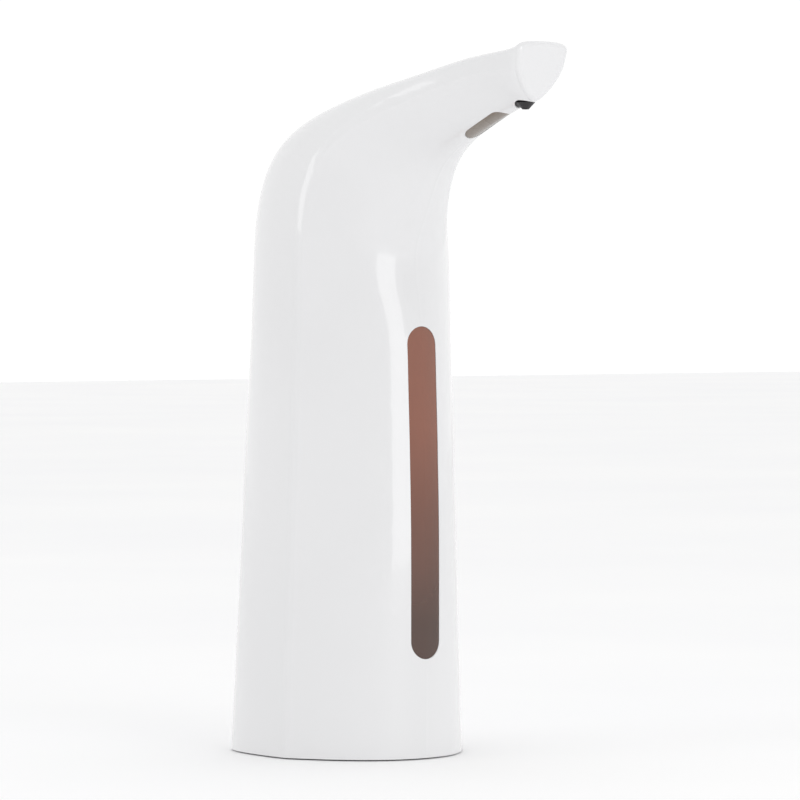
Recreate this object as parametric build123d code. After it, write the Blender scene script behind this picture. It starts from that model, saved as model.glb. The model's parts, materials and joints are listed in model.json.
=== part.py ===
"""Touch-free soap dispenser: a tall housing that bends forward into a spout, with a level window, a
soap tank, a gear pump, batteries and a wall bracket. Millimetres. +Z is up, the spout points to -Y, and
the origin is on the floor at the centre of the foot."""

import os
from collections import namedtuple
from math import acos, cos, pi, radians, sin, tan

import numpy as np
from build123d import *

# ---------------------------------------------------------------- housing
WALL = 2.2
BOTTOM_Z = 0.5  # lower edge of the housing; the feet stand on z = 0
CREASE_ROUND = (1.8, 2.4)  # length of the rounding on each side of the crease, body and spout
TIP_ROUND = 1.6
SECTIONS = 21

# One station is a section across the housing: its back and front points (y, z), its half width at the
# side crease, where the crease lies from back (0) to front (1), and how far the section has turned from
# the round body (0) into the flat-topped spout (1).
Station = namedtuple("Station", "back front half_width crease spout")
STATIONS = [
    Station((38.95, BOTTOM_Z), (-39.45, BOTTOM_Z), 38.8, 0.608, 0.0),
    Station((36.7, 46.0), (-39.5, 44.0), 37.1, 0.592, 0.0),
    Station((34.9, 90.0), (-39.3, 90.0), 35.3, 0.583, 0.0),
    Station((33.0, 129.6), (-38.0, 129.8), 34.0, 0.586, 0.0),
    Station((30.9, 162.6), (-35.9, 157.3), 33.5, 0.598, 0.0),
    Station((28.3, 192.0), (-33.7, 175.9), 33.2, 0.609, 0.0),
    Station((16.4, 217.0), (-41.8, 195.0), 29.1, 0.479, 0.11),
    Station((-14.8, 230.5), (-50.3, 208.0), 23.5, 0.383, 0.36),
    Station((-42.9, 237.0), (-67.9, 217.6), 17.9, 0.320, 0.66),
    Station((-68.5, 242.0), (-87.5, 224.6), 13.1, 0.260, 0.91),
    Station((-101.2, 247.3), (-96.4, 227.1), 10.9, 0.270, 1.0),
]
# Shape of the half section, for the body and for the spout: the angles that the front and back curves
# make with the axis at the crease, and the lengths of their tangents as shares of width and depth.
FRONT_ANGLE = (29.2, 6.0)
FRONT_LATERAL = (0.433, 0.32)
FRONT_AXIAL = (0.747, 0.42)
BACK_ANGLE = (3.4, 4.0)
BACK_AXIAL = (0.882, 0.75)
BACK_LATERAL = (0.801, 0.98)

# ---------------------------------------------------------------- openings in the housing
WINDOW_HALF_WIDTH = 6.3
WINDOW_Z = (35.0, 151.0)
SENSOR_CENTRE = (-73.6, 219.2)  # y, z on the underside of the spout
SENSOR_TILT = 17.5
SENSOR_SIZE = (22.0, 8.4)
NOZZLE_Y = -92.5
NOZZLE_RADIUS = 3.7
NOZZLE_Z = 226.2
SPOUT_SLOPE = 10.0  # slope of the spout's top, degrees
BUTTON_POINT = (-60.0, 240.4)  # y, z on the spout's top
BUTTON_RADIUS = 5.0
LIGHT_AHEAD = 11.0  # status light, in front of the button
LIGHT_RADIUS = 1.2
FILLER_Y = -5.0
FILLER_RADIUS = 12.5
NECK_RADII = (11.6, 13.4)
CAP_PLUG = (9.6, 11.3)
CAP_PLUG_Z = 206.0

# ---------------------------------------------------------------- inside
PLATE_TOP = 3.0
FLOOR_Z = (32.0, 34.5)  # chassis plate, which is the tank's floor
LEDGE = 2.0
TANK_OFFSETS = (3.1, 4.0, 12.5)  # front, side and back, from the outer face of the housing
TANK_WALL = 1.6
TANK_Z = (35.5, 178.0)
WELL_Y = -12.0
WELL_RADII = (14.0, 15.5)
WELL_TOP = 72.0
MOTOR_RADIUS = 12.2
MOTOR_Z = (30.5, 61.3)
SHAFT_RADIUS = 1.5
RUNNING_FIT = 0.05
GEAR_TEETH = 12
GEAR_MODULE = 1.0
GEAR_ANGLE = 25.0
GEAR_Z = (20.75, 26.75)
CHAMBER_Z = (20.6, 26.9)
COVER_Z = 18.2  # underside of the pump's cover
PASSAGE_Z = 23.8  # middle of the pump's passages
PUMP_RADIUS = 9.6
CHAMBER_RADIUS = 7.05
PUMP_BOSS = 2.7
PUMP_SCREW = 1.0
IDLER_X = -GEAR_TEETH * GEAR_MODULE
PORT_X = IDLER_X / 2
INTAKE_Y = -30.0
TUBE_RADII = (1.2, 2.0)
CABLE_RADIUS = 1.2
CELL_RADIUS = 5.25
CELL_LENGTH = 44.5
CELL_PITCH = 10.9
CELL_Z = 9.3
TRAY_Y = 3.0
TRAY_INSIDE = (45.0, 50.0)
TRAY_WALL = 1.5
TRAY_TOP = 16.5
DOOR_SIZE = (47.4, 52.2)
DOOR_Z = (0.7, 2.3)
DOOR_PIN = 1.1  # length of the door's pins beyond its sides
PANEL_GAP = 0.3  # round the battery door and the refill cap
FOOT_OFFSETS = (2.7, 3.9)  # rubber foot ring, from the outer face of the housing
FOOT_TOP = 1.3
SCREW_PLACES = [(-30.2, 6.0), (30.2, 6.0), (5.0, -29.8)]
PUMP_SCREWS = [(12.6, -24.4), (12.6, 0.4), (-21.4, -12.0)]
BOARD_POSTS = [(4.0, 8.0), (22.0, 8.0), (13.0, 24.0)]
BOARD_Z = (19.0, 20.6)
SWITCH_PLACE = (-8.0, -29.0)

# ---------------------------------------------------------------- wall bracket
STUD_Z = (95.0, 119.0)
STUD_NECK = 2.4
STUD_HEAD = 4.4
STUD_DROP = 12.0
BRACKET_Y = (36.2, 39.2)
BRACKET_Z = (80.0, 134.0)
BRACKET_WIDTH = 34.0
BRACKET_HOLE_RADIUS = 2.25
BRACKET_HOLES_Z = (86.0, 128.0)


# ---------------------------------------------------------------- helpers
def mix(pair, share):
    """Body value and spout value, mixed."""
    return pair[0] * (1 - share) + pair[1] * share


def natural_spline(knots, values):
    """Smooth function through values at knots."""
    n, h = len(knots), np.diff(knots)
    matrix, right = np.zeros((n, n)), np.zeros(n)
    matrix[0, 0] = matrix[-1, -1] = 1
    for i in range(1, n - 1):
        matrix[i, i - 1 : i + 2] = h[i - 1], 2 * (h[i - 1] + h[i]), h[i]
        right[i] = 6 * ((values[i + 1] - values[i]) / h[i] - (values[i] - values[i - 1]) / h[i - 1])
    bend = np.linalg.solve(matrix, right)

    def value(at):
        i = int(np.clip(np.searchsorted(knots, at) - 1, 0, n - 2))
        a, b, step = knots[i + 1] - at, at - knots[i], h[i]
        cubic = (bend[i] * a**3 + bend[i + 1] * b**3) / (6 * step)
        return float(
            cubic
            + (values[i] / step - bend[i] * step / 6) * a
            + (values[i + 1] / step - bend[i + 1] * step / 6) * b
        )

    return value


def even_stations(count):
    """The stations, respaced evenly along the housing."""
    rows = np.array([[*s.back, *s.front, s.half_width, s.crease, s.spout] for s in STATIONS])
    middle = (rows[:, 0:2] + rows[:, 2:4]) / 2
    knots = np.concatenate([[0], np.cumsum(np.hypot(*np.diff(middle, axis=0).T))])
    curves = [natural_spline(knots, rows[:, k]) for k in range(7)]
    stations = []
    for at in np.linspace(0, knots[-1], count):
        v = [curve(at) for curve in curves]
        stations.append(Station((v[0], v[1]), (v[2], v[3]), v[4], v[5], min(max(v[6], 0), 1)))
    return stations


ALL_STATIONS = even_stations(SECTIONS)
BODY_STATIONS = ALL_STATIONS[: int(SECTIONS * 0.75)]


def section(station, front_off=0.0, side_off=0.0, back_off=0.0):
    """Closed wire of one station, moved inwards by the three offsets."""
    back, front = Vector(0, *station.back), Vector(0, *station.front)
    depth = (front - back).length
    along = (front - back).normalized()
    crease_v = depth * station.crease
    half = station.half_width - side_off
    rounding = max(0.6, mix(CREASE_ROUND, station.spout) - side_off * 0.3)
    front_v, back_v = depth - front_off, back_off
    angle_f = radians(mix(FRONT_ANGLE, station.spout))
    angle_b = radians(mix(BACK_ANGLE, station.spout))
    to_front = Vector(-sin(angle_f), cos(angle_f))
    to_back = Vector(sin(angle_b), -cos(angle_b))
    crease = Vector(half, crease_v)
    front_end = crease + to_front * rounding
    back_end = crease + to_back * rounding
    front_curve = [
        Vector(0, front_v),
        Vector(mix(FRONT_LATERAL, station.spout) * half, front_v),
        crease + to_front * (mix(FRONT_AXIAL, station.spout) * (front_v - crease_v)),
        front_end,
    ]
    corner = [front_end, crease, back_end]
    back_curve = [
        back_end,
        crease + to_back * (mix(BACK_AXIAL, station.spout) * (crease_v - back_v)),
        Vector(mix(BACK_LATERAL, station.spout) * half, back_v),
        Vector(0, back_v),
    ]

    def place(point, sign):
        return back + along * point.Y + Vector(sign * point.X, 0, 0)

    right = [front_curve, corner, back_curve]
    edges = [Edge.make_bezier(*[place(p, 1) for p in pts]) for pts in right]
    edges += [Edge.make_bezier(*[place(p, -1) for p in reversed(pts)]) for pts in reversed(right)]
    return Wire(edges)


def form(front_off=0.0, side_off=0.0, back_off=0.0, stations=ALL_STATIONS):
    """Solid of the housing's outer shape, moved inwards by the three offsets."""
    return Solid.make_loft([section(s, front_off, side_off, back_off) for s in stations])


def even_form(offset, stations=ALL_STATIONS):
    return form(offset, offset, offset, stations)


def slab(low, high, size=400.0):
    return Pos(0, 0, (low + high) / 2) * Box(size, size, high - low)


def block(x, y, z):
    """Box from pairs of limits."""
    size = [hi - lo for lo, hi in (x, y, z)]
    centre = [(hi + lo) / 2 for lo, hi in (x, y, z)]
    return Pos(*centre) * Box(*size)


def post(radius, x, y, low, high):
    """Upright cylinder."""
    return Pos(x, y, (low + high) / 2) * Cylinder(radius, high - low)


def rod(radius, start, end):
    """Cylinder between two points."""
    start, end = Vector(*start), Vector(*end)
    plane = Plane(origin=(start + end) / 2, z_dir=end - start)
    return plane * Cylinder(radius, (end - start).length)


def arm(start, end, width, low, high):
    """Flat bar between two points seen from above."""
    start, end = Vector(*start), Vector(*end)
    run = end - start
    turn = Rot(0, 0, np.degrees(np.arctan2(run.Y, run.X)))
    middle = (start + end) / 2
    return Pos(middle.X, middle.Y, (low + high) / 2) * turn * Box(run.length, width, high - low)


def tip_plane(inset):
    """Plane of the spout's end face, moved back by inset, with its normal pointing out of the spout."""
    tip = STATIONS[-1]
    back, front = Vector(0, *tip.back), Vector(0, *tip.front)
    down = (front - back).normalized()
    out = Vector(0, down.Z, -down.Y)
    return Plane(origin=(back + front) / 2 - out * inset, x_dir=(1, 0, 0), z_dir=out)


def beyond_tip(inset):
    """Everything in front of the end face moved back by inset."""
    return tip_plane(inset) * Pos(0, 0, 50) * Box(200, 200, 100)


def tip_cap():
    """Short cap that rounds the rim of the spout's end face."""
    tip, out = STATIONS[-1], tip_plane(0).z_dir
    rings = []
    for share in (0, 0.25, 0.5, 0.75, 1):
        inset = TIP_ROUND * (1 - cos(share * pi / 2))
        wire = section(tip, inset, inset, inset)
        rings.append(wire.moved(Location(out * TIP_ROUND * sin(share * pi / 2))))
    return Solid.make_loft(rings)


def rear_region():
    """Everything behind the side creases and short of the end face."""
    wires = []
    for s in ALL_STATIONS:
        back, front = Vector(0, *s.back), Vector(0, *s.front)
        along = (front - back).normalized()
        split = back + along * ((front - back).length * s.crease - mix(CREASE_ROUND, s.spout))
        rear = back - along * 30
        wide = Vector(s.half_width + 12, 0, 0)
        wires.append(Wire.make_polygon([split + wide, split - wide, rear - wide, rear + wide]))
    return Solid.make_loft(wires, True) - beyond_tip(WALL)


def window_prism(inset=0.0):
    """Upright slot, round at both ends, through the front wall."""
    height = WINDOW_Z[1] - WINDOW_Z[0] - 2 * inset
    plan = SlotOverall(height, 2 * (WINDOW_HALF_WIDTH - inset), rotation=90)
    return Plane(origin=(0, -50, sum(WINDOW_Z) / 2), x_dir=(1, 0, 0), z_dir=(0, 1, 0)) * extrude(plan, 35)


def sensor_plane():
    tilt = radians(SENSOR_TILT)
    along = (0, -cos(tilt), sin(tilt))
    return Plane(origin=(0, *SENSOR_CENTRE), x_dir=along, z_dir=(0, -sin(tilt), -cos(tilt)))


def sensor_prism(inset=0.0):
    plan = SlotOverall(SENSOR_SIZE[0] - 2 * inset, SENSOR_SIZE[1] - 2 * inset)
    return sensor_plane() * Pos(0, 0, -6) * extrude(plan, 12)


def sensor_block(length, width, low, high):
    """Box above the sensor window, low and high measured inwards."""
    return sensor_plane() * Pos(0, 0, -(low + high) / 2) * Box(length, width, high - low)


def on_spout(ahead=0.0):
    """Plane on the spout's top at the button or ahead of it, normal outwards."""
    slope = radians(SPOUT_SLOPE)
    y, z = BUTTON_POINT
    origin = (0, y - ahead * cos(slope), z + ahead * sin(slope))
    return Plane(origin=origin, x_dir=(1, 0, 0), z_dir=(0, sin(slope), cos(slope)))


def spout_bore(radius, low=-6.0, high=4.0, ahead=0.0):
    return on_spout(ahead) * Pos(0, 0, (low + high) / 2) * Cylinder(radius, high - low)


def involute(angle):
    return tan(angle) - angle


def gear_blank(phase):
    """Toothed disc without its bore, one tooth at the given angle (degrees)."""
    pitch_r = GEAR_TEETH * GEAR_MODULE / 2
    base_r = pitch_r * cos(radians(GEAR_ANGLE))
    tip_r, root_r = pitch_r + 0.9, pitch_r - 1.2
    half_tooth = (pi * GEAR_MODULE / 2 - 0.15) / 2 / pitch_r
    points = []
    for tooth in range(GEAR_TEETH):
        centre = radians(phase) + 2 * pi * tooth / GEAR_TEETH
        flank = []
        for r in np.linspace(base_r, tip_r, 5):
            half = half_tooth + involute(radians(GEAR_ANGLE)) - involute(acos(base_r / r))
            flank.append((r, half))
        flank.insert(0, (root_r, flank[0][1]))
        points += [(r * cos(centre - half), r * sin(centre - half)) for r, half in flank]
        points += [(r * cos(centre + half), r * sin(centre + half)) for r, half in reversed(flank)]
    return Pos(0, 0, GEAR_Z[0]) * extrude(Polygon(*points, align=None), GEAR_Z[1] - GEAR_Z[0])


def pipe(points, radii, outer, bore=None):
    """Round tube along a line with rounded corners."""
    path = FilletPolyline(*points, radius=radii)
    plane = Plane(origin=path @ 0, z_dir=path % 0)
    solid = sweep(plane * Circle(outer), path=path)
    if bore:
        solid -= sweep(plane * Circle(bore), path=path)
    return solid


def tube_route(side):
    """Corners of the line from the pump room, up behind the tank and over its shoulder into the spout."""
    x = 18.0 * side
    return [(x, 28.0, PASSAGE_Z), (x, 19.0, 207.0), (12.0 * side, -40.0, 222.0)]


# ---------------------------------------------------------------- housing parts
def housing_parts(parts):
    outer = even_form(0) + tip_cap()
    inner = even_form(WALL) - beyond_tip(WALL)
    rear = rear_region()
    ledges = even_form(WALL - 0.1, BODY_STATIONS) - even_form(WALL + LEDGE, BODY_STATIONS)
    shell = outer - inner
    shell += ledges & slab(FLOOR_Z[0] - LEDGE, FLOOR_Z[0])
    shell += ledges & slab(PLATE_TOP, PLATE_TOP + 1.5)
    front_shell = shell - rear
    rear_shell = shell & rear

    front_shell -= window_prism()
    front_shell -= sensor_prism()
    front_shell -= post(NOZZLE_RADIUS, 0, NOZZLE_Y, NOZZLE_Z - 8, NOZZLE_Z + 6)

    rear_shell -= spout_bore(BUTTON_RADIUS)
    rear_shell -= spout_bore(LIGHT_RADIUS, ahead=LIGHT_AHEAD)
    rear_shell -= post(FILLER_RADIUS, 0, FILLER_Y, 200, 260)
    for z in STUD_Z:
        y = (24, 45)
        neck = STUD_NECK + 0.4
        rear_shell -= block((-neck, neck), y, (z - STUD_DROP, z))
        rear_shell -= rod(neck, (0, y[0], z), (0, y[1], z))
        rear_shell -= rod(STUD_HEAD + 0.6, (0, y[0], z - STUD_DROP), (0, y[1], z - STUD_DROP))
    parts["front_shell"] = front_shell
    parts["rear_shell"] = rear_shell

    skin = even_form(0.15) - even_form(WALL + 0.3)
    flange = even_form(WALL + 0.05) - even_form(WALL + 0.8)
    window_rim = window_prism(-2.0) & flange & slab(FLOOR_Z[1] + 0.2, 200)
    parts["level_window"] = (window_prism(0.1) & skin) + window_rim
    parts["sensor_window"] = (sensor_prism(0.1) & skin) + (sensor_prism(-1.2) & flange)

    # nozzle: a round black insert with a small cone, and a silicone slit valve inside it
    seat = post(NOZZLE_RADIUS - 0.1, 0, NOZZLE_Y, NOZZLE_Z - 6, NOZZLE_Z + 4) & even_form(0.3)
    seat += post(NOZZLE_RADIUS + 1.0, 0, NOZZLE_Y, NOZZLE_Z, NOZZLE_Z + 4.4) & (
        even_form(WALL + 0.05) - beyond_tip(WALL + 0.2)
    )
    seat += Pos(0, NOZZLE_Y, NOZZLE_Z - 0.4) * Cone(1.1, 3.3, 2.4)
    seat -= post(0.9, 0, NOZZLE_Y, NOZZLE_Z - 5, NOZZLE_Z + 6)
    seat -= post(TUBE_RADII[1], 0, NOZZLE_Y, NOZZLE_Z + 2.6, NOZZLE_Z + 6)
    seat -= post(1.7, 0, NOZZLE_Y, NOZZLE_Z + 1.4, NOZZLE_Z + 2.6)
    parts["nozzle_insert"] = seat
    valve = post(1.7, 0, NOZZLE_Y, NOZZLE_Z + 1.4, NOZZLE_Z + 2.6)
    parts["nozzle_valve"] = valve - block((-1.2, 1.2), (NOZZLE_Y - 0.1, NOZZLE_Y + 0.1), (220, 240))

    # refill cap: a disc cut from the wall, with a plug that slides in the tank's neck
    disc = post(FILLER_RADIUS - PANEL_GAP, 0, FILLER_Y, 200, 260) & (outer - even_form(WALL))
    plug = post(CAP_PLUG[1], 0, FILLER_Y, CAP_PLUG_Z, 260) - post(CAP_PLUG[0], 0, FILLER_Y, 200, 260)
    groove_z = CAP_PLUG_Z + 3.0
    plug -= post(20, 0, FILLER_Y, groove_z - 0.6, groove_z + 0.6) - post(10.4, 0, FILLER_Y, 200, 260)
    scoop = Pos(0, FILLER_Y + 12.5, 219.0) * Sphere(3.2)
    cap = disc + (plug & even_form(WALL - 0.1)) - scoop
    parts["refill_cap"] = cap
    seal = Pos(0, FILLER_Y, groove_z) * Torus(11.0, 0.55)
    parts["refill_cap_seal"] = seal

    # dose button on the spout's top
    button = spout_bore(BUTTON_RADIUS - 0.25, -2.9, 4) & even_form(0.1)
    button += spout_bore(BUTTON_RADIUS + 0.9, -3.4, -2.7)
    button -= on_spout() * Pos(0, 0, 19.4) * Sphere(20)
    parts["dose_button"] = button
    dome = spout_bore(3.0, -5.0, -4.6) + spout_bore(1.6, -4.6, -3.5)
    parts["button_dome"] = dome
    board = on_spout(LIGHT_AHEAD / 2) * Pos(0, 0, -5.5) * Box(10, LIGHT_AHEAD + 8, 1.0)
    parts["button_board"] = board
    light = spout_bore(LIGHT_RADIUS - 0.05, -5.0, 4, LIGHT_AHEAD) & even_form(0.1)
    parts["status_light"] = light


def sensor_parts(parts):
    parts["sensor_board"] = sensor_block(22, 9.0, 7.2, 8.2)
    lenses = []
    for shift in (-5.5, 5.5):
        lens = sensor_plane() * Pos(shift, 0, -5.6) * Cylinder(2.4, 3.2)
        lenses.append(lens)
    parts["ir_diodes"] = lenses
    cable = [(3.0, -66.0, 226.6), (5.0, -55.0, 225.5)]
    cable += list(reversed(tube_route(1))) + [(16.0, 17.0, PASSAGE_Z)]
    parts["sensor_cable"] = pipe(cable, [5, 10, 16, 4], CABLE_RADIUS)


def tank_parts(parts):
    walls = form(*TANK_OFFSETS, BODY_STATIONS)
    hollow = form(*[v + TANK_WALL for v in TANK_OFFSETS], BODY_STATIONS)
    tank = walls & slab(*TANK_Z)
    tank -= hollow & slab(TANK_Z[0] - 5, TANK_Z[1] - TANK_WALL)
    neck = post(NECK_RADII[1], 0, FILLER_Y, TANK_Z[1] - 1, 260) & even_form(WALL + 0.3)
    tank += neck
    tank -= post(NECK_RADII[0], 0, FILLER_Y, TANK_Z[1] - 5, 260)
    parts["tank"] = tank
    parts["tank_gasket"] = (walls - hollow) & slab(FLOOR_Z[1], TANK_Z[0])

    chassis = even_form(WALL + 0.25, BODY_STATIONS) & slab(*FLOOR_Z)
    chassis += post(WELL_RADII[1], 0, WELL_Y, FLOOR_Z[0], WELL_TOP)
    chassis -= post(WELL_RADII[0], 0, WELL_Y, FLOOR_Z[0] - 1, WELL_TOP - 1.5)
    for x, y in SCREW_PLACES:
        chassis += post(3.3, x, y, PLATE_TOP, FLOOR_Z[0] + 0.1)
        chassis -= post(1.1, x, y, PLATE_TOP - 1, 14)
    chassis -= post(2.6, PORT_X, INTAKE_Y, 30, 36)
    for side in (-1, 1):
        chassis -= post(3.0, 18.0 * side, 27.5, 30, 36)
    for x, y in PUMP_SCREWS:
        chassis -= post(PUMP_SCREW, x, y, FLOOR_Z[0] - 1, FLOOR_Z[0] + 1.5)
    parts["chassis"] = chassis

    strainer = post(3.1, PORT_X, INTAKE_Y, FLOOR_Z[1] + 0.1, 40.5) - post(2.5, PORT_X, INTAKE_Y, 34, 39.5)
    for turn in range(0, 180, 45):
        slot = Pos(PORT_X, INTAKE_Y, 37.6) * Rot(0, 0, turn) * Box(8, 0.8, 2.4)
        strainer -= slot
    parts["intake_filter"] = strainer


def pump_parts(parts):
    y = WELL_Y
    centres = (0.0, IDLER_X)
    body = Part() + [post(PUMP_RADIUS, x, y, CHAMBER_Z[0], MOTOR_Z[0]) for x in centres]
    body += block((IDLER_X, 0), (y - PUMP_RADIUS, y + PUMP_RADIUS), (CHAMBER_Z[0], MOTOR_Z[0]))
    for sx, sy in PUMP_SCREWS:
        body += post(PUMP_BOSS, sx, sy, CHAMBER_Z[0], FLOOR_Z[0])
        body += arm((0, y), (sx, sy), 4.4, CHAMBER_Z[0], CHAMBER_Z[1] + 2)
    body += block((PORT_X - 2.6, PORT_X + 2.6), (INTAKE_Y - 2.5, y), (21.2, 26.4))
    body += post(2.5, PORT_X, INTAKE_Y, 21.2, 36.0)
    body += rod(TUBE_RADII[0], (PORT_X, y, PASSAGE_Z), (PORT_X, 3.0, PASSAGE_Z))
    for x in centres:
        body -= post(CHAMBER_RADIUS, x, y, CHAMBER_Z[0] - 1, CHAMBER_Z[1])
    body -= rod(1.4, (PORT_X, INTAKE_Y, PASSAGE_Z), (PORT_X, y, PASSAGE_Z))
    body -= post(1.4, PORT_X, INTAKE_Y, 22.4, 40)
    body -= rod(0.7, (PORT_X, y, PASSAGE_Z), (PORT_X, 5.0, PASSAGE_Z))
    body -= post(SHAFT_RADIUS + RUNNING_FIT, 0, y, 20, 31)
    body -= post(3.2, 0, y, 28.4, 31)
    body -= post(SHAFT_RADIUS, IDLER_X, y, 20, 28.6)
    for sx, sy in PUMP_SCREWS:
        body -= post(PUMP_SCREW, sx, sy, 20, 33)
    parts["pump_body"] = body

    cover = Part() + [post(PUMP_RADIUS, x, y, COVER_Z, CHAMBER_Z[0]) for x in centres]
    cover += block((IDLER_X, 0), (y - PUMP_RADIUS, y + PUMP_RADIUS), (COVER_Z, CHAMBER_Z[0]))
    for sx, sy in PUMP_SCREWS:
        cover += post(PUMP_BOSS, sx, sy, COVER_Z, CHAMBER_Z[0])
        cover += arm((0, y), (sx, sy), 4.4, COVER_Z, CHAMBER_Z[0])
        cover -= post(PUMP_SCREW, sx, sy, 18, 21)
    cover -= post(SHAFT_RADIUS + RUNNING_FIT, 0, y, 19.0, 21)
    cover -= post(SHAFT_RADIUS, IDLER_X, y, 19.0, 21)
    parts["pump_cover"] = cover
    parts["pump_screws"] = [
        post(PUMP_SCREW, sx, sy, COVER_Z, 33.4) + post(1.9, sx, sy, COVER_Z - 1, COVER_Z)
        for sx, sy in PUMP_SCREWS
    ]
    parts["shaft_seal"] = post(3.2, 0, y, 28.4, 30.4) - post(SHAFT_RADIUS + RUNNING_FIT, 0, y, 28, 31)

    drive = Pos(0, y, 0) * gear_blank(180)
    parts["drive_gear"] = drive - post(SHAFT_RADIUS, 0, y, 20, 28)
    idler = Pos(IDLER_X, y, 0) * gear_blank(180 / GEAR_TEETH)
    parts["idler_gear"] = idler - post(SHAFT_RADIUS + RUNNING_FIT, IDLER_X, y, 20, 28)
    parts["idler_pin"] = post(SHAFT_RADIUS, IDLER_X, y, 19.0, 28.6)
    parts["motor_shaft"] = post(SHAFT_RADIUS, 0, y, 19.2, 36.0)

    motor = post(MOTOR_RADIUS, 0, y, *MOTOR_Z)
    motor = fillet(motor.edges().filter_by(GeomType.CIRCLE), 1.2)
    motor += post(4.0, 0, y, MOTOR_Z[1] - 1, MOTOR_Z[1] + 2)
    motor -= post(SHAFT_RADIUS + RUNNING_FIT, 0, y, 30, 36.4)
    for x in (-6.5, 6.5):
        motor += block((x - 1.4, x + 1.4), (y - 0.25, y + 0.25), (MOTOR_Z[1] - 1, MOTOR_Z[1] + 4.5))
    parts["motor"] = motor

    route = [(PORT_X, -1.0, PASSAGE_Z), (PORT_X, 14.0, PASSAGE_Z)] + tube_route(-1)
    route += [(-3.0, -64.0, 231.6), (0, NOZZLE_Y, 238.6), (0, NOZZLE_Y, NOZZLE_Z + 2.6)]
    parts["delivery_tube"] = pipe(route, [7, 7, 16, 14, 14, 6], TUBE_RADII[1], TUBE_RADII[0])

    clips = []
    for side, bore in ((-1, TUBE_RADII[1]), (1, CABLE_RADIUS)):
        low, high = Vector(*tube_route(side)[0]), Vector(*tube_route(side)[1])
        for z in (62.0, 150.0):
            share = (z - low.Z) / (high.Z - low.Z)
            centre = low + (high - low) * share
            x, y = centre.X, centre.Y
            clip = block((x - 3.5, x + 3.5), (y - 3.0, y + 12), (z - 3, z + 3))
            clip = clip & even_form(WALL + 0.05, BODY_STATIONS)
            clips.append(clip - rod(bore, low, high))
    parts["tube_clips"] = clips


def foot_ring():
    """Flat rubber ring under the edge of the housing."""
    outside, inside = (section(ALL_STATIONS[0], *[v] * 3) for v in FOOT_OFFSETS)
    low = Location((0, 0, -BOTTOM_Z))
    return extrude(Face(outside.moved(low), [inside.moved(low)]), FOOT_TOP, dir=(0, 0, 1))


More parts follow.
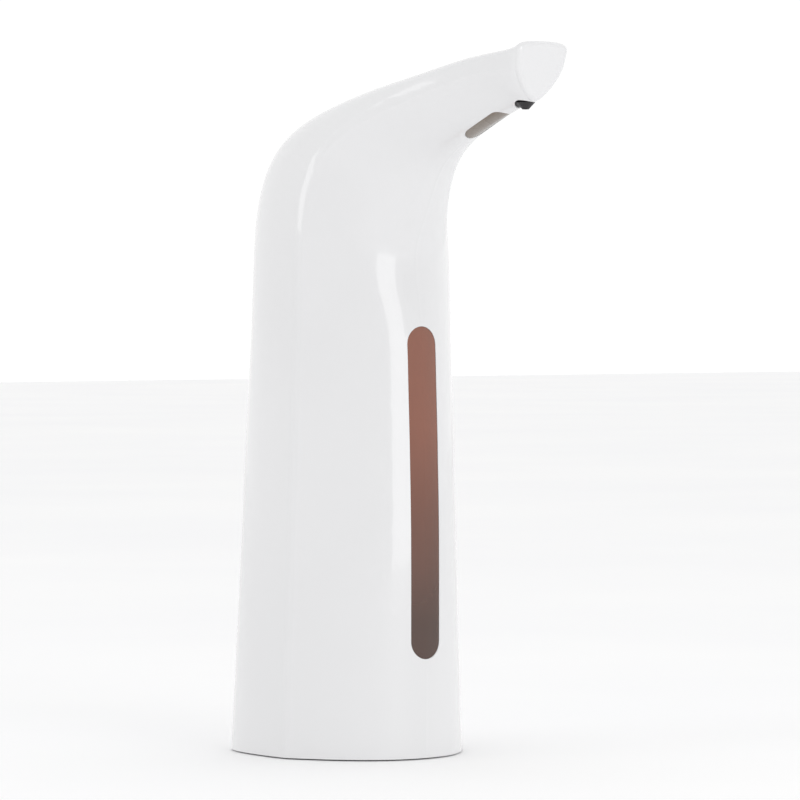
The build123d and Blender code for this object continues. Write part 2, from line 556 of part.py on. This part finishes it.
def base_parts(parts):
    plate = even_form(WALL + 0.25, BODY_STATIONS) & slab(BOTTOM_Z, PLATE_TOP)
    x, y = TRAY_INSIDE
    door_x, door_y = DOOR_SIZE
    plate -= Pos(0, TRAY_Y, 0) * Box(x, y, 20)
    plate -= Pos(0, TRAY_Y, 0) * Box(door_x + 2 * PANEL_GAP, door_y + 2 * PANEL_GAP, 2 * DOOR_Z[1] + 0.2)
    pivot_y = TRAY_Y - door_y / 2 + 0.8
    pivot_z = sum(DOOR_Z) / 2
    reach = door_x / 2 + DOOR_PIN
    plate -= rod(0.8, (-reach - 0.1, pivot_y, pivot_z), (reach + 0.1, pivot_y, pivot_z))
    ring = foot_ring()
    plate -= ring
    for sx, sy in SCREW_PLACES:
        plate -= post(1.3, sx, sy, 0, 4)
        plate -= post(2.7, sx, sy, 0, 1.9)
    sx, sy = SWITCH_PLACE
    plate -= block((sx - 4.0, sx + 4.0), (sy - 1.7, sy + 1.7), (0, 4))
    parts["base_plate"] = plate
    parts["base_screws"] = [
        post(1.1, x, y, 1.0, 13.5) + post(2.5, x, y, 0.8, 1.9) - Pos(x, y, 0.9) * Box(3.4, 0.7, 1.2)
        for x, y in SCREW_PLACES
    ]
    parts["foot_ring"] = ring

    # battery box, open at the bottom
    tray = Pos(0, TRAY_Y, (PLATE_TOP + TRAY_TOP) / 2) * Box(
        x + 2 * TRAY_WALL, y + 2 * TRAY_WALL, TRAY_TOP - PLATE_TOP
    )
    tray -= Pos(0, TRAY_Y, TRAY_TOP - TRAY_WALL - 10) * Box(x, y, 20)
    for px, py in BOARD_POSTS:
        tray += post(1.8, px, py, TRAY_TOP - 0.1, BOARD_Z[0])
    parts["battery_tray"] = tray
    cells, springs, contacts = [], [], []
    front_wall, back_wall = TRAY_Y - y / 2, TRAY_Y + y / 2
    for i in range(4):
        cx = (i - 1.5) * CELL_PITCH
        spring_at_front = i % 2 == 0
        sign = 1 if spring_at_front else -1
        middle = TRAY_Y + sign * 1.3
        half = CELL_LENGTH / 2
        cell = rod(CELL_RADIUS, (cx, middle - half, CELL_Z), (cx, middle + half, CELL_Z))
        cell = fillet(cell.edges().filter_by(GeomType.CIRCLE), 0.5)
        cell += rod(1.9, (cx, middle, CELL_Z), (cx, middle + sign * (half + 0.8), CELL_Z))
        cells.append(cell)
        wall = front_wall if spring_at_front else back_wall
        turns = Helix(pitch=1.0, height=2.6, radius=2.6)
        wire = sweep(Plane(origin=turns @ 0, z_dir=turns % 0) * Circle(0.3), path=turns)
        springs.append(Plane(origin=(cx, wall + sign * 0.75, CELL_Z), z_dir=(0, sign, 0)) * wire)
    for wall, sign, groups in ((front_wall, 1, ((0, 1), (2, 3))), (back_wall, -1, ((0, 0), (1, 2), (3, 3)))):
        for first, last in groups:
            left, right = (first - 1.5) * CELL_PITCH - 4.2, (last - 1.5) * CELL_PITCH + 4.2
            near, far = sorted((wall, wall + sign * 0.4))
            contacts.append(block((left, right), (near, far), (CELL_Z - 4, CELL_Z + 4)))
    parts["batteries"] = cells
    parts["battery_springs"] = springs
    parts["battery_contacts"] = contacts

    door = Pos(0, TRAY_Y, pivot_z) * Box(door_x, door_y, DOOR_Z[1] - DOOR_Z[0])
    door -= block((-40, 40), (pivot_y - 5, pivot_y), (0, 4))
    door += rod(0.8, (-door_x / 2, pivot_y, pivot_z), (door_x / 2, pivot_y, pivot_z))
    door += rod(0.75, (-reach, pivot_y, pivot_z), (reach, pivot_y, pivot_z))
    grip = Pos(0, TRAY_Y + door_y / 2 - 5, DOOR_Z[0] - 1.0) * Rot(0, 90, 0) * Cylinder(1.6, 14)
    door -= grip
    parts["battery_door"] = door
    pad_z = (DOOR_Z[1], CELL_Z - CELL_RADIUS - 0.15)
    parts["door_pad"] = block((-20, 20), (TRAY_Y - 12, TRAY_Y + 18), pad_z)

    sx, sy = SWITCH_PLACE
    knob = block((sx - 3.7, sx - 3.7 + 4.4), (sy - 1.4, sy + 1.4), (0.8, 3.0))
    knob += block((sx - 2.9, sx - 2.9 + 2.8), (sy - 0.9, sy + 0.9), (3.0, 4.6))
    parts["power_switch"] = knob
    case = block((sx - 6.0, sx + 6.0), (sy - 2.6, sy + 2.6), (PLATE_TOP + 0.1, 8.0))
    case -= block((sx - 4.0, sx + 4.0), (sy - 1.2, sy + 1.2), (2.0, 5.0))
    parts["switch_case"] = case

    parts["control_board"] = block((1.5, 25.0), (5.5, 26.5), BOARD_Z)
    top = BOARD_Z[1]
    chips = [block((6, 13), (9, 16), (top, top + 1.6)), block((19.6, 24.6), (19.5, 24.5), (top, top + 4.5))]
    chips += [post(2.6, 19.5, 11.5, top, top + 7.0), post(1.5, 5.0, 22.0, top, top + 3.0)]
    chips += [block((9, 14), (19, 22), (top, top + 1.2))]
    parts["board_components"] = chips


def back_y(z):
    """Where the back of the housing is at height z."""
    ys, heights = zip(*[s.back for s in STATIONS[:6]])
    return float(np.interp(z, heights, ys))


def bracket_parts(parts):
    width = BRACKET_WIDTH
    plate = block((-width / 2, width / 2), BRACKET_Y, BRACKET_Z)
    plate = fillet(plate.edges().filter_by(Axis.Y), 5.0)
    for z in STUD_Z:
        shell_y = back_y(z)
        plate += rod(STUD_NECK, (0, shell_y - WALL - 1.2, z), (0, BRACKET_Y[0] + 0.5, z))
        plate += rod(STUD_HEAD, (0, shell_y - WALL - 2.8, z), (0, shell_y - WALL - 0.9, z))
    for z in BRACKET_HOLES_Z:
        plate -= rod(BRACKET_HOLE_RADIUS, (0, 30, z), (0, 45, z))
        plate -= Plane(origin=(0, BRACKET_Y[0], z), z_dir=(0, 1, 0)) * Pos(0, 0, 1.0) * Cone(
            BRACKET_HOLE_RADIUS + 2.0, BRACKET_HOLE_RADIUS, 2.0
        )
    parts["wall_bracket"] = plate


def main():
    os.makedirs("parts", exist_ok=True)
    parts = {}
    housing_parts(parts)
    sensor_parts(parts)
    tank_parts(parts)
    pump_parts(parts)
    base_parts(parts)
    bracket_parts(parts)
    for name, shape in parts.items():
        if isinstance(shape, list):
            shape = Compound(children=[s.solid() if not isinstance(s, Solid) else s for s in shape])
        export_step(shape, f"parts/{name}.step")


main()
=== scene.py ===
"""Looks of the touch-free soap dispenser: materials, studio and camera. Metres."""

import json

import bpy
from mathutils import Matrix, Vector

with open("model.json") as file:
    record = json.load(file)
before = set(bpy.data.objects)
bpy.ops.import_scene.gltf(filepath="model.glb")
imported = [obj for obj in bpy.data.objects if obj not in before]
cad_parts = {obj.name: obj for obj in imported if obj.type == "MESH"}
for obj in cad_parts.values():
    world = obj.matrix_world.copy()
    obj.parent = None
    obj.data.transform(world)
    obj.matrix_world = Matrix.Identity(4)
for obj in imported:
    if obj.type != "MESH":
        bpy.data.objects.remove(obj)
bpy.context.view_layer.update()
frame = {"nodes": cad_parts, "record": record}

NODES = frame["nodes"]

VEIL_SHADE_Z = (0.045, 0.13)  # the veil in a tinted part goes from its low colour to its high one between these heights; a darker low colour is painted shade
BATTERY_BOX_Y = (-0.022, 0.028)  # inside of the battery box
FLOOR_HALF = 6.0
WORLD_DIM = 0.80  # light from the camera's side
WORLD_BRIGHT = 1.06  # light from behind the object
WORLD_FACING = (0.6, 0.75, 0.28)  # direction that the bright side lies in
SENSOR_WIDTH = 36.0  # millimetres, as is the lens
LENS = 197.1
SHIFT = (0.0548, 0.0024)
CAMERA_PLACE = (-0.9632, -1.2212, 0.1597)
CAMERA_AIM = (0, 0, 0.124)


# ---------------------------------------------------------------- colours
def linear(r, g, b):
    """Linear colour from 8-bit display values."""

    def one(v):
        v = v / 255
        return v / 12.92 if v <= 0.04045 else ((v + 0.055) / 1.055) ** 2.4

    return (one(r), one(g), one(b), 1.0)


def shade(color, factor):
    return (color[0] * factor, color[1] * factor, color[2] * factor, 1.0)


# ---------------------------------------------------------------- material building blocks
class Maker:
    """A node material under construction."""

    def __init__(self, name):
        self.mat = bpy.data.materials.new(name)
        self.mat.use_nodes = True
        self.tree = self.mat.node_tree
        self.shader = self.tree.nodes["Principled BSDF"]
        self.output = self.tree.nodes["Material Output"]
        self.place = self.node("ShaderNodeTexCoord").outputs["Object"]

    def node(self, kind, **settings):
        made = self.tree.nodes.new(kind)
        for key, value in settings.items():
            setattr(made, key, value)
        return made

    def link(self, source, target):
        self.tree.links.new(source, target)

    def set(self, **values):
        for key, value in values.items():
            self.shader.inputs[key.replace("_", " ")].default_value = value
        return self

    def noise(self, scale, detail=3.0, stretch=(1, 1, 1)):
        """Noise value in object space, in features per metre."""
        mapping = self.node("ShaderNodeMapping")
        mapping.inputs["Scale"].default_value = stretch
        self.link(self.place, mapping.inputs["Vector"])
        made = self.node("ShaderNodeTexNoise")
        made.inputs["Scale"].default_value = scale
        made.inputs["Detail"].default_value = detail
        self.link(mapping.outputs["Vector"], made.inputs["Vector"])
        return made.outputs["Fac"]

    def ramp(self, value, low, high, start=0.3, end=0.7):
        """Colour ramp between two colours."""
        made = self.node("ShaderNodeValToRGB")
        made.color_ramp.elements[0].position = start
        made.color_ramp.elements[1].position = end
        made.color_ramp.elements[0].color = low
        made.color_ramp.elements[1].color = high
        self.link(value, made.inputs["Fac"])
        return made.outputs["Color"]

    def scaled(self, value, low, high, start=0.3, end=0.7):
        """Number mapped from one range to another."""
        made = self.node("ShaderNodeMapRange")
        for key, number in (("From Min", start), ("From Max", end), ("To Min", low), ("To Max", high)):
            made.inputs[key].default_value = number
        self.link(value, made.inputs["Value"])
        return made.outputs["Result"]

    def bump(self, value, strength, distance):
        made = self.node("ShaderNodeBump")
        made.inputs["Strength"].default_value = strength
        made.inputs["Distance"].default_value = distance
        self.link(value, made.inputs["Height"])
        self.link(made.outputs["Normal"], self.shader.inputs["Normal"])


def moulded(name, color, rough=0.3, spread=0.06, tone=0.05, grain=900, depth=0.00002):
    """Moulded plastic or rubber: faint tone drift, uneven gloss and a fine surface grain."""
    m = Maker(name).set(IOR=1.49)
    tones = m.ramp(m.noise(18, 4), shade(color, 1 - tone), shade(color, 1 + tone * 0.4))
    m.link(tones, m.shader.inputs["Base Color"])
    m.link(m.scaled(m.noise(60, 5), rough - spread, rough + spread), m.shader.inputs["Roughness"])
    m.bump(m.noise(grain, 2), 0.25, depth)
    return m.mat


def metal(name, color, rough=0.3, stretch=(1, 1, 1)):
    """Metal with fine lines along the stretched direction."""
    m = Maker(name).set(Metallic=1.0)
    m.link(m.ramp(m.noise(120, 5), shade(color, 0.85), color), m.shader.inputs["Base Color"])
    m.link(m.scaled(m.noise(500, 3, stretch), rough - 0.1, rough + 0.12), m.shader.inputs["Roughness"])
    m.bump(m.noise(900, 3, stretch), 0.2, 0.00003)
    return m.mat


def white_shell():
    """Glossy white plastic: clean, with a slight orange peel and faint handling haze."""
    m = Maker("white_shell").set(IOR=1.5, Coat_Weight=1.0, Coat_Roughness=0.05)
    tones = m.ramp(m.noise(9, 3), linear(226, 226, 227), linear(230, 230, 231))
    m.link(tones, m.shader.inputs["Base Color"])
    m.link(m.scaled(m.noise(35, 5), 0.32, 0.42), m.shader.inputs["Roughness"])
    m.bump(m.noise(160, 2), 0.03, 0.00003)
    return m.mat


def tinted_lens(name, tint, veil, shaded_low_veil, share, rough):
    """Clear plastic: part lets the inside show, and share is a veil that changes colour low down, where a
    darker low colour is painted shade.
    """
    m = Maker(name).set(IOR=1.49, Coat_Weight=0.6, Coat_Roughness=0.05)
    split = m.node("ShaderNodeSeparateXYZ")
    m.link(m.place, split.inputs["Vector"])
    drift = m.node("ShaderNodeMath", operation="MULTIPLY_ADD")
    m.link(m.noise(30, 4), drift.inputs[0])
    drift.inputs[1].default_value = 0.01
    m.link(split.outputs["Z"], drift.inputs[2])
    height = m.scaled(drift.outputs["Value"], 0, 1, *VEIL_SHADE_Z)
    # painted shade: the veil takes the low colour towards the bottom of the part, darker there where the
    # low colour is darker
    m.link(m.ramp(height, shaded_low_veil, veil, 0.1, 0.9), m.shader.inputs["Base Color"])
    m.link(m.scaled(m.noise(80, 4), rough, rough + 0.08), m.shader.inputs["Roughness"])
    m.bump(m.noise(500, 2, (1, 1, 0.02)), 0.15, 0.00003)
    clear = m.node("ShaderNodeBsdfTransparent")
    clear.inputs["Color"].default_value = tint
    join = m.node("ShaderNodeMixShader")
    join.inputs["Fac"].default_value = share
    m.link(clear.outputs["BSDF"], join.inputs[1])
    m.link(m.shader.outputs["BSDF"], join.inputs[2])
    m.link(join.outputs["Shader"], m.output.inputs["Surface"])
    return m.mat


def board():
    """Lacquered circuit board with a darker grid of tracks."""
    m = Maker("board").set(IOR=1.5, Coat_Weight=0.4)
    wave = m.node("ShaderNodeTexWave", wave_type="BANDS", bands_direction="DIAGONAL")
    wave.inputs["Scale"].default_value = 160
    wave.inputs["Distortion"].default_value = 6
    m.link(m.place, wave.inputs["Vector"])
    tones = m.ramp(wave.outputs["Fac"], linear(14, 60, 38), linear(34, 104, 62))
    m.link(tones, m.shader.inputs["Base Color"])
    m.link(m.scaled(m.noise(200, 3), 0.3, 0.45), m.shader.inputs["Roughness"])
    m.bump(wave.outputs["Fac"], 0.2, 0.00004)
    return m.mat


def cell_wrap():
    """Shrink sleeve with a coloured band near one end."""
    m = Maker("cell_wrap").set(IOR=1.5, Coat_Weight=0.3)
    split = m.node("ShaderNodeSeparateXYZ")
    m.link(m.place, split.inputs["Vector"])
    share = m.scaled(split.outputs["Y"], 0, 1, *BATTERY_BOX_Y)
    tones = m.ramp(share, linear(190, 130, 60), linear(38, 42, 52), 0.22, 0.24)
    m.link(tones, m.shader.inputs["Base Color"])
    m.link(m.scaled(m.noise(90, 4), 0.28, 0.42), m.shader.inputs["Roughness"])
    m.bump(m.noise(700, 2), 0.15, 0.00002)
    return m.mat


LOOKS = {
    "white_shell": white_shell(),
    # the darker low veil colours of the window and the tank are painted shade low down
    "window_tint": tinted_lens(
        "window_tint", linear(205, 160, 146), linear(172, 118, 100), linear(104, 84, 76), 0.62, 0.08
    ),
    "tank_clear": tinted_lens(
        "tank_clear", linear(240, 240, 241), linear(224, 225, 227), linear(216, 217, 220), 0.35, 0.25
    ),
    "sensor_tint": tinted_lens(
        "sensor_tint", linear(120, 104, 96), linear(140, 130, 120), linear(140, 130, 120), 0.85, 0.2
    ),
    "black_plastic": moulded("black_plastic", linear(30, 28, 31), 0.36, 0.08, 0.2, 1400, 0.00004),
    "grey_plastic": moulded("grey_plastic", linear(150, 152, 155), 0.42, 0.08, 0.08),
    "milky_plastic": moulded("milky_plastic", linear(226, 226, 224), 0.35, 0.08, 0.06),
    "silicone": moulded("silicone", linear(208, 208, 204), 0.5, 0.08, 0.06),
    "dark_rubber": moulded("dark_rubber", linear(34, 34, 35), 0.7, 0.08, 0.15, 2000, 0.00006),
    "steel": metal("steel", linear(190, 191, 194), 0.32, (1, 1, 0.1)),
    "spring_steel": metal("spring_steel", linear(214, 214, 216), 0.2),
    "board": board(),
    "cell_wrap": cell_wrap(),
    "zinc": metal("zinc", linear(176, 178, 182), 0.42, (0.1, 1, 1)),
    "light_pipe": moulded("light_pipe", linear(206, 224, 236), 0.35, 0.05, 0.05),
}
for entry in frame["record"]["subparts"]:
    mesh = NODES[entry["node"]].data
    mesh.materials.clear()
    mesh.materials.append(LOOKS[entry["material_slot"]])


# ---------------------------------------------------------------- studio
def plain_floor():
    mesh = bpy.data.meshes.new("floor")
    s = FLOOR_HALF
    mesh.from_pydata([(-s, -s, 0), (s, -s, 0), (s, s, 0), (-s, s, 0)], [], [(0, 1, 2, 3)])
    floor = bpy.data.objects.new("floor", mesh)
    bpy.context.scene.collection.objects.link(floor)
    m = Maker("floor").set(IOR=1.4)
    tones = m.ramp(m.noise(3, 3), linear(251, 251, 252), linear(254, 254, 254))
    m.link(tones, m.shader.inputs["Base Color"])
    m.link(m.scaled(m.noise(5, 3), 0.7, 0.8), m.shader.inputs["Roughness"])
    mesh.materials.append(m.mat)


def softbox(name, place, target, size, power):
    data = bpy.data.lights.new(name, "AREA")
    data.shape = "RECTANGLE"
    data.size, data.size_y = size
    data.energy = power
    lamp = bpy.data.objects.new(name, data)
    lamp.location = place
    lamp.rotation_euler = (Vector(target) - Vector(place)).to_track_quat("-Z", "Y").to_euler()
    bpy.context.scene.collection.objects.link(lamp)


def studio():
    plain_floor()
    world = bpy.data.worlds.new("studio")
    bpy.context.scene.world = world
    world.use_nodes = True
    tree = world.node_tree
    place = tree.nodes.new("ShaderNodeTexCoord")
    facing = tree.nodes.new("ShaderNodeVectorMath")
    facing.operation = "DOT_PRODUCT"
    facing.inputs[1].default_value = WORLD_FACING
    level = tree.nodes.new("ShaderNodeMapRange")
    limits = (("From Min", -0.2), ("From Max", 0.55), ("To Min", WORLD_DIM), ("To Max", WORLD_BRIGHT))
    for key, number in limits:
        level.inputs[key].default_value = number
    tree.links.new(place.outputs["Generated"], facing.inputs[0])
    tree.links.new(facing.outputs["Value"], level.inputs["Value"])
    tree.links.new(level.outputs["Result"], tree.nodes["Background"].inputs["Strength"])
    tree.nodes["Background"].inputs["Color"].default_value = (1, 1, 1, 1)
    softbox("front", (-0.1, -1.5, 0.5), (-0.1, 0, 0.5), (0.72, 1.0), 3.9)
    softbox("side", (-1.8, 0.5, 0.9), (0, 0, 0.12), (0.8, 0.8), 3.0)


def camera():
    data = bpy.data.cameras.new("camera")
    data.sensor_width = SENSOR_WIDTH
    data.lens = LENS
    data.shift_x, data.shift_y = SHIFT
    cam = bpy.data.objects.new("camera", data)
    cam.location = CAMERA_PLACE
    aim = Vector(CAMERA_AIM) - cam.location
    cam.rotation_euler = aim.to_track_quat("-Z", "Y").to_euler()
    bpy.context.scene.collection.objects.link(cam)
    bpy.context.scene.camera = cam


studio()
camera()
bpy.context.scene.view_settings.view_transform = "Standard"
